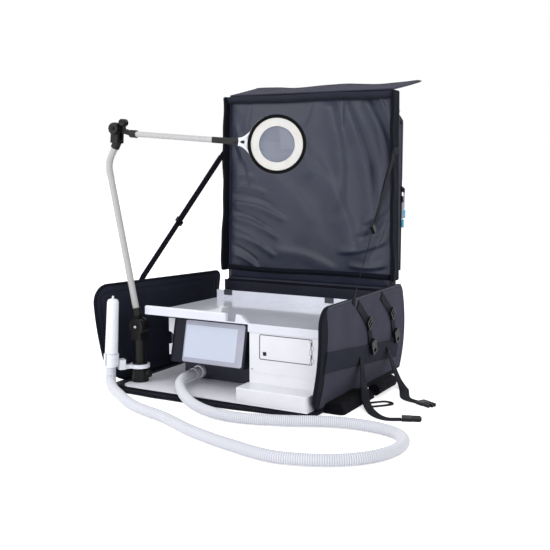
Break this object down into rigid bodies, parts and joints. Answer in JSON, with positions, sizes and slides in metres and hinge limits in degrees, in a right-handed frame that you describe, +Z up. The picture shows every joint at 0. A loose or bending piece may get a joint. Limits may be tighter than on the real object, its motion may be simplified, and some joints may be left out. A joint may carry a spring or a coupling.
{
  "type": "backpack podiatry unit",
  "caption": "Opened backpack case with a white treatment unit inside: worktop tray, leaning touch screen, cabinet, magnifier lamp on an arm, handpiece holder and ribbed suction hose",
  "frame": {"origin": "Centre of the back panel's underside, the face that the opened case lies on", "axes": "+X to the right along the open front, +Y back to the lid's hinge, +Z up"},
  "size_m": [0.9272, 1.0183, 0.8354],
  "materials": {
    "outer_fabric": "dark woven nylon with a fine melange",
    "lining_fabric": "dark coated lining with a soft sheen",
    "webbing": "black ribbed webbing",
    "buckle_plastic": "black moulded acetal",
    "zip_black": "black coated zip slider and cord",
    "pull_tip_blue": "light blue moulded tip",
    "white_case": "smooth white powder coat",
    "tray_grey": "glossy pale grey",
    "housing_black": "fine textured dark grey",
    "screen_glass": "polished black-edged glass",
    "display_blue": "pale backlit display",
    "hose_white": "soft white ribbed hose",
    "white_plastic": "smooth white moulding",
    "lamp_black": "satin black",
    "arm_metal": "satin anodised",
    "pin_steel": "turned steel",
    "light_diffuser": "frosted diffuser",
    "lens_glass": "clear polished",
    "rail_clip_dark": "dark grey moulding",
    "motor_metal": "cast and painted",
    "board_green": "solder mask",
    "filter_paper": "non-woven filter fleece"
  },
  "bodies": {
    "root": {"back_panel": "outer_fabric", "side_wall_left": "outer_fabric", "side_wall_right": "outer_fabric", "rear_wall": "outer_fabric", "front_lip": "outer_fabric", "stay_left": "webbing", "stay_right": "webbing", "compression_straps": "webbing", "side_band": "webbing", "strap_tails": "webbing", "strap_buckles": "buckle_plastic", "stay_sliders": "buckle_plastic", "hip_belt": "outer_fabric", "base_plate": "white_case", "front_plinth": "white_case", "cabinet_shell": "white_case", "filter_bag": "filter_paper", "door_hinges": "pin_steel", "main_housing": "housing_black", "suction_motor": "motor_metal", "control_board": "board_green", "power_supply": "motor_metal", "screen_housing": "housing_black", "screen_glass": "screen_glass", "display_panel": "display_blue", "screen_bracket": "white_case", "worktop_tray": "tray_grey", "rail_clips": "rail_clip_dark", "hose_port": "white_plastic", "hose_cuffs": "white_plastic", "hose": "hose_white", "lamp_base": "lamp_black", "handpiece_holder": "white_plastic"},
    "lid": {"lid_panel": "outer_fabric", "lid_lining": "lining_fabric", "lid_gussets": "outer_fabric", "outer_pocket": "outer_fabric"},
    "flap": {"front_flap": "outer_fabric"},
    "zip_upper": {"zip_slider_upper": "zip_black", "pull_tip_upper": "pull_tip_blue"},
    "zip_lower": {"zip_slider_lower": "zip_black", "pull_tip_lower": "pull_tip_blue"},
    "door": {"door_panel": "white_case"},
    "latch": {"latch_button": "lamp_black"},
    "knob": {"clamp_knob": "lamp_black"},
    "handpiece": {"handpiece_body": "white_plastic", "handpiece_collet": "pin_steel"},
    "lamp": {"lamp_post": "lamp_black", "tilt_pin": "pin_steel"},
    "lower_arm": {"lower_arm_tube": "arm_metal", "lower_arm_ends": "lamp_black", "elbow_pin": "pin_steel"},
    "upper_arm": {"upper_arm_foot": "lamp_black", "upper_arm": "white_plastic"},
    "head_link": {"head_link": "lamp_black"},
    "head": {"head_pin": "pin_steel", "head_shell": "white_plastic", "head_rim": "lamp_black", "light_ring": "light_diffuser", "lens": "lens_glass"}
  },
  "joints": [
    {"name": "lid_fold", "type": "hinge", "parent": "root", "child": "lid", "pos_m": [0, 0.279, 0.228], "axis": [-1, 0, 0], "range_deg": [-40, 0], "deforming": ["stay_left", "stay_right", "stay_sliders"]},
    {"name": "flap_fold", "type": "hinge", "parent": "lid", "child": "flap", "pos_m": [0, 0.2787, 0.7903], "axis": [1, 0, 0], "range_deg": [0, 110]},
    {"name": "zip_upper_slide", "type": "slide", "parent": "lid", "child": "zip_upper", "axis": [0, 0, 1], "range_m": [0, 0.17]},
    {"name": "zip_lower_slide", "type": "slide", "parent": "lid", "child": "zip_lower", "axis": [0, 0, 1], "range_m": [-0.16, 0]},
    {"name": "door_hinge", "type": "hinge", "parent": "root", "child": "door", "pos_m": [0.2632, -0.2205, 0.1415], "axis": [0, 0, 1], "range_deg": [0, 90]},
    {"name": "latch_press", "type": "slide", "parent": "door", "child": "latch", "axis": [0, 1, 0], "range_m": [0, 0.001], "stiffness_N_per_m": 400},
    {"name": "clamp_knob_turn", "type": "hinge", "parent": "root", "child": "knob", "pos_m": [-0.2204, -0.221, 0.036], "axis": [1, 0, 0], "continuous": true},
    {"name": "handpiece_turn", "type": "hinge", "parent": "root", "child": "handpiece", "pos_m": [-0.288, -0.285, 0.07], "axis": [0.0645, 0, 0.9979], "continuous": true},
    {"name": "lamp_swivel", "type": "hinge", "parent": "root", "child": "lamp", "pos_m": [-0.243, -0.221, 0.0606], "axis": [0, 0, 1], "range_deg": [-100, 60]},
    {"name": "lower_arm_tilt", "type": "hinge", "parent": "lamp", "child": "lower_arm", "pos_m": [-0.243, -0.221, 0.161], "axis": [0, -1, 0], "range_deg": [-14, 12]},
    {"name": "elbow_fold", "type": "hinge", "parent": "lower_arm", "child": "upper_arm", "pos_m": [-0.302, -0.221, 0.678], "axis": [0, 1, 0], "range_deg": [-30, 35]},
    {"name": "head_roll", "type": "hinge", "parent": "upper_arm", "child": "head_link", "pos_m": [-0.006, -0.221, 0.6455], "axis": [0.9972, 0, -0.075], "range_deg": [-90, 90]},
    {"name": "head_turn", "type": "hinge", "parent": "head_link", "child": "head", "pos_m": [0.07806, -0.221, 0.63918], "axis": [0.075, 0, 0.9972], "range_deg": [-60, 60]}
  ]
}
